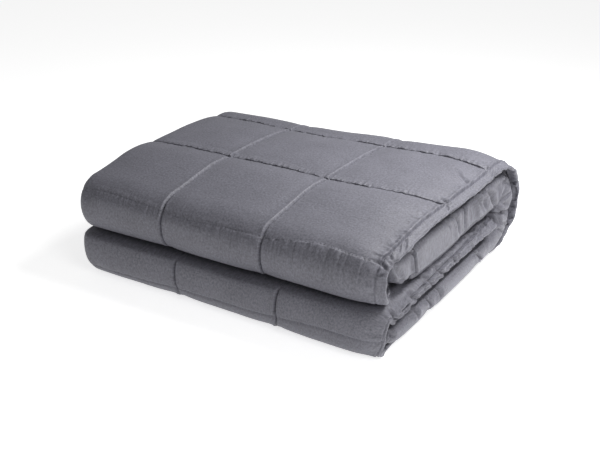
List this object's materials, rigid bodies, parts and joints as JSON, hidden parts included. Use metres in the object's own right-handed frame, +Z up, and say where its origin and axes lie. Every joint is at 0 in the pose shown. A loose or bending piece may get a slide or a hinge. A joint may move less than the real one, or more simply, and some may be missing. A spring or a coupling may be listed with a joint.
{
  "type": "folded weighted blanket",
  "caption": "Quilted weighted blanket, folded in thirds and then four deep, so that two rolled front edges lie one over the other; it rests on its flat underside.",
  "frame": {"origin": "middle of the folded pack's footprint, on the surface it lies on", "axes": "+X along the long side towards the end where the layers' edges show, -Y to the front with the two rolled turns, +Z up"},
  "size_m": [0.4047, 0.3466, 0.1322],
  "materials": {
    "grey_microfibre": "matte brushed microfibre, stitched in squares with matching thread"
  },
  "bodies": {
    "root": {"blanket": "grey_microfibre"}
  },
  "joints": []
}
